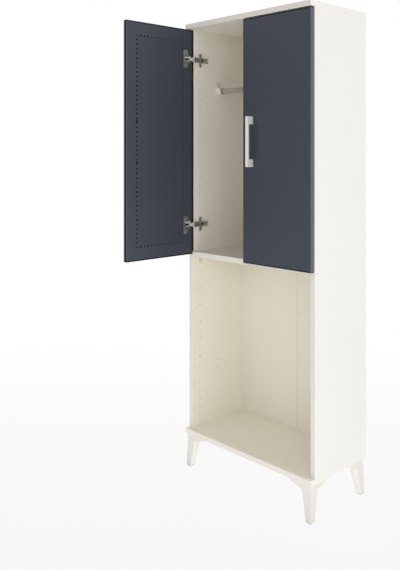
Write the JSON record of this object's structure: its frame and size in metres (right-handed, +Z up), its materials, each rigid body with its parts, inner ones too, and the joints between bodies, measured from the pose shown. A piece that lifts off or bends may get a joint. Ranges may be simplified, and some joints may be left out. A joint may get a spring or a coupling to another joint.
{
  "type": "wardrobe",
  "caption": "Tall narrow wardrobe on splayed legs: hinged doors close the upper hanging compartment with its rail, over an open niche; pale carcass, slate doors, bow handles",
  "frame": {"origin": "on the floor, under the centre of the carcass footprint", "axes": "+X to the right seen from the front, +Y from front to back, +Z up; the doors face -Y"},
  "size_m": [0.6275, 0.5749, 1.64],
  "materials": {
    "carcass_board": "satin lacquer, warm off-white",
    "back_board": "matte foil, warm off-white",
    "door_lacquer": "matte lacquer, slate blue-grey",
    "leg_lacquer": "satin lacquer, warm off-white",
    "handle_metal": "satin",
    "rail_metal": "satin",
    "hinge_steel": "nickel plated",
    "screw_steel": "zinc plated",
    "dark_steel": "black oxide",
    "white_plastic": "moulded",
    "dark_plastic": "moulded",
    "dowel_wood": "plain beech"
  },
  "bodies": {
    "carcass": {"back_joint_strip": "white_plastic", "back_panel_left": "back_board", "back_panel_right": "back_board", "base_board": "carcass_board", "carcass_dowels": "dowel_wood", "carcass_screws": "screw_steel", "clothes_rail": "rail_metal", "foot_glides": "dark_plastic", "front_left_leg": "leg_lacquer", "front_right_leg": "leg_lacquer", "left_arm_cams": "dark_steel", "left_arm_pins": "hinge_steel", "left_hinge_arms": "hinge_steel", "left_hinge_plates": "hinge_steel", "left_plate_screws": "screw_steel", "left_rail_bracket": "white_plastic", "left_side_panel": "carcass_board", "leg_screws": "screw_steel", "middle_shelf": "carcass_board", "rail_bracket_screws": "screw_steel", "rail_collars": "dark_plastic", "rail_set_screws": "screw_steel", "rear_left_leg": "leg_lacquer", "rear_right_leg": "leg_lacquer", "right_arm_cams": "dark_steel", "right_arm_pins": "hinge_steel", "right_hinge_arms": "hinge_steel", "right_hinge_plates": "hinge_steel", "right_plate_screws": "screw_steel", "right_rail_bracket": "white_plastic", "right_side_panel": "carcass_board", "screw_caps": "white_plastic", "shelf_supports": "white_plastic", "top_board": "carcass_board"},
    "left_links": {"left_link_straps": "hinge_steel"},
    "left_door": {"left_door_panel": "door_lacquer", "left_handle": "handle_metal", "left_handle_screws": "screw_steel", "left_hinge_cups": "hinge_steel", "left_cup_screws": "screw_steel", "left_cup_pins": "hinge_steel"},
    "right_links": {"right_link_straps": "hinge_steel"},
    "right_door": {"right_door_panel": "door_lacquer", "right_handle": "handle_metal", "right_handle_screws": "screw_steel", "right_hinge_cups": "hinge_steel", "right_cup_screws": "screw_steel", "right_cup_pins": "hinge_steel"}
  },
  "joints": [
    {"name": "left_link_hinge", "type": "hinge", "parent": "carcass", "child": "left_links", "pos_m": [-0.289, -0.14, 1.2], "axis": [0, 0, -1], "range_deg": [-105.88, 11.76]},
    {"name": "left_door_hinge", "type": "hinge", "parent": "left_links", "child": "left_door", "pos_m": [-0.29105, -0.15085, 1.2], "axis": [0, 0, -1], "range_deg": [-1.77, 15.89]},
    {"name": "right_link_hinge", "type": "hinge", "parent": "carcass", "child": "right_links", "pos_m": [0.289, -0.14, 1.2], "axis": [0, 0, 1], "range_deg": [0, 117.65]},
    {"name": "right_door_hinge", "type": "hinge", "parent": "right_links", "child": "right_door", "pos_m": [0.278, -0.139, 1.2], "axis": [0, 0, 1], "range_deg": [-17.66, 0]}
  ],
  "couplings": [
    {"joint": "left_door_hinge", "follows": "left_link_hinge", "ratio": -0.15},
    {"joint": "right_door_hinge", "follows": "right_link_hinge", "ratio": -0.15}
  ]
}
